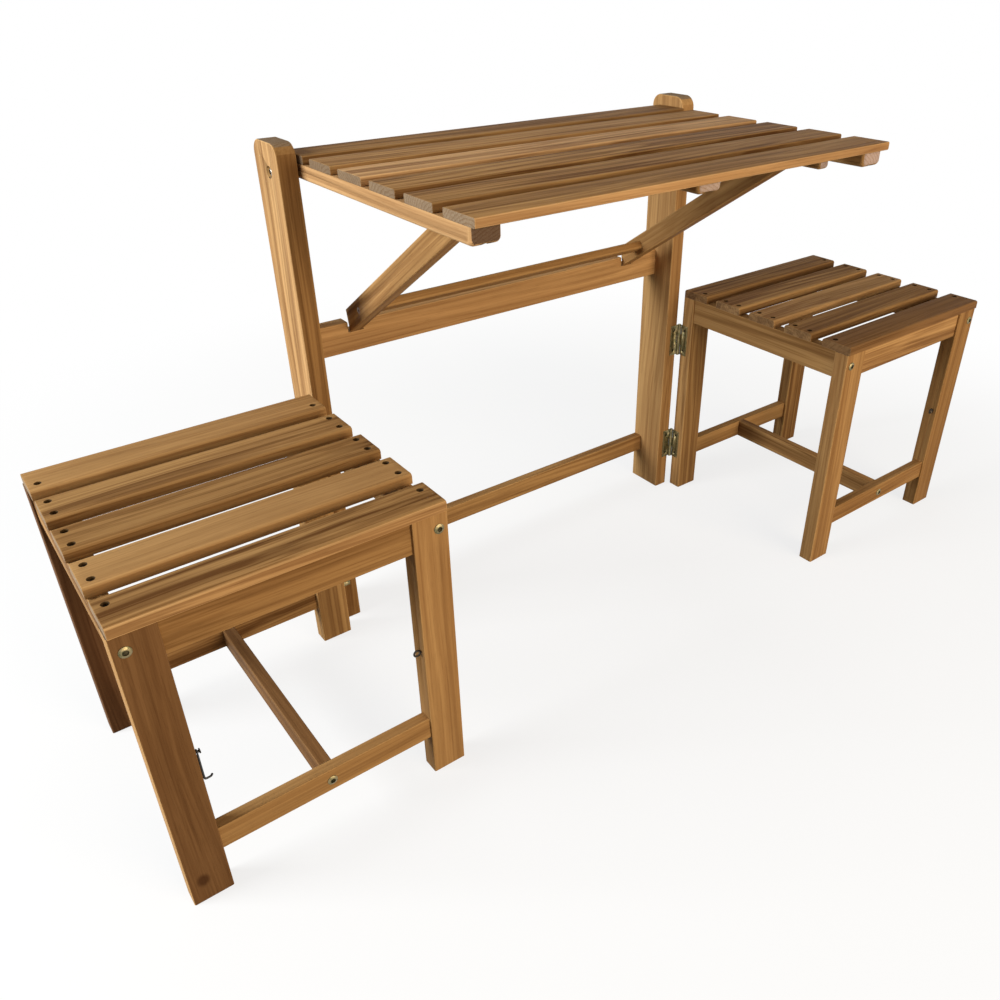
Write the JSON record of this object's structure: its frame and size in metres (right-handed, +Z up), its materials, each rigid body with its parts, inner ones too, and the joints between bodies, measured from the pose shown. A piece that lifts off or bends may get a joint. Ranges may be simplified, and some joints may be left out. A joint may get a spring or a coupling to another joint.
{
  "type": "folding balcony table set",
  "caption": "Slatted wooden drop-leaf table on a two-post frame, with slatted stools hinged to the posts; the leaf drops and the stools fold flat for storage on a small balcony.",
  "frame": {"origin": "on the floor, at the centre of the bounding box's bottom face", "axes": "+X along the frame from the left post to the right one, -Y toward the side where the leaf and stools reach out, +Z up"},
  "size_m": [1.522, 0.478, 0.758],
  "materials": {
    "frame_wood": "oiled, satin",
    "leaf_wood": "oiled, satin",
    "batten_wood": "oiled, satin",
    "prop_wood": "oiled, satin",
    "stool_wood": "oiled, satin",
    "seat_wood": "oiled, satin",
    "brass": "aged, satin",
    "steel": "zinc plated",
    "black_steel": "black, satin"
  },
  "bodies": {
    "frame": {"left_post": "frame_wood", "right_post": "frame_wood", "upper_rail": "frame_wood", "lower_rail": "frame_wood", "pivot_bolts": "steel", "pivot_washers": "steel", "post_hinge_leaves": "brass", "post_hinge_screws": "steel", "hinge_pins": "brass"},
    "table_top": {"leaf_slat_1": "leaf_wood", "leaf_slat_2": "leaf_wood", "leaf_slat_3": "leaf_wood", "leaf_slat_4": "leaf_wood", "leaf_slat_5": "leaf_wood", "leaf_slat_6": "leaf_wood", "left_end_batten": "batten_wood", "right_end_batten": "batten_wood", "middle_batten": "batten_wood", "left_prop_cleat": "batten_wood", "right_prop_cleat": "batten_wood", "leaf_screws": "steel", "prop_pivot_bolts": "steel"},
    "prop": {"left_prop_arm": "prop_wood", "right_prop_arm": "prop_wood", "prop_cross_bar": "prop_wood", "prop_screws": "steel"},
    "left_stool": {"left_stool_front_outer_leg": "stool_wood", "left_stool_front_inner_leg": "stool_wood", "left_stool_back_outer_leg": "stool_wood", "left_stool_back_inner_leg": "stool_wood", "left_stool_front_apron": "stool_wood", "left_stool_back_apron": "stool_wood", "left_stool_outer_side_apron": "stool_wood", "left_stool_inner_side_apron": "stool_wood", "left_stool_front_stretcher": "stool_wood", "left_stool_back_stretcher": "stool_wood", "left_stool_centre_stretcher": "stool_wood", "left_stool_seat_slats": "seat_wood", "left_stool_screws": "steel", "left_stool_bolts": "brass", "left_stool_hinge_leaves": "brass", "left_stool_latch_eyes": "brass"},
    "right_stool": {"right_stool_front_outer_leg": "stool_wood", "right_stool_front_inner_leg": "stool_wood", "right_stool_back_outer_leg": "stool_wood", "right_stool_back_inner_leg": "stool_wood", "right_stool_front_apron": "stool_wood", "right_stool_back_apron": "stool_wood", "right_stool_outer_side_apron": "stool_wood", "right_stool_inner_side_apron": "stool_wood", "right_stool_front_stretcher": "stool_wood", "right_stool_back_stretcher": "stool_wood", "right_stool_centre_stretcher": "stool_wood", "right_stool_seat_slats": "seat_wood", "right_stool_screws": "steel", "right_stool_bolts": "brass", "right_stool_hinge_leaves": "brass", "right_stool_latch_eyes": "brass"},
    "left_hook": {"left_hook": "black_steel"},
    "right_hook": {"right_hook": "black_steel"}
  },
  "joints": [
    {"name": "leaf_hinge", "type": "hinge", "parent": "frame", "child": "table_top", "pos_m": [0, 0.196, 0.7205], "axis": [1, 0, 0], "range_deg": [0, 90]},
    {"name": "prop_hinge", "type": "hinge", "parent": "table_top", "child": "prop", "pos_m": [0, -0.117, 0.7135], "axis": [-1, 0, 0], "range_deg": [0, 146.34]},
    {"name": "left_stool_hinge", "type": "hinge", "parent": "frame", "child": "left_stool", "pos_m": [-0.3787, 0.1635, 0.209], "axis": [0, 0, 1], "range_deg": [0, 90]},
    {"name": "right_stool_hinge", "type": "hinge", "parent": "frame", "child": "right_stool", "pos_m": [0.3787, 0.1635, 0.209], "axis": [0, 0, -1], "range_deg": [0, 90]},
    {"name": "left_hook_pivot", "type": "hinge", "parent": "left_stool", "child": "left_hook", "pos_m": [-0.7109, -0.2035, 0.218], "axis": [-1, 0, 0], "range_deg": [0, 90]},
    {"name": "right_hook_pivot", "type": "hinge", "parent": "right_stool", "child": "right_hook", "pos_m": [0.4313, -0.2035, 0.218], "axis": [-1, 0, 0], "range_deg": [0, 90]}
  ],
  "couplings": [
    {"joint": "prop_hinge", "follows": "leaf_hinge", "ratio": 1.626}
  ]
}
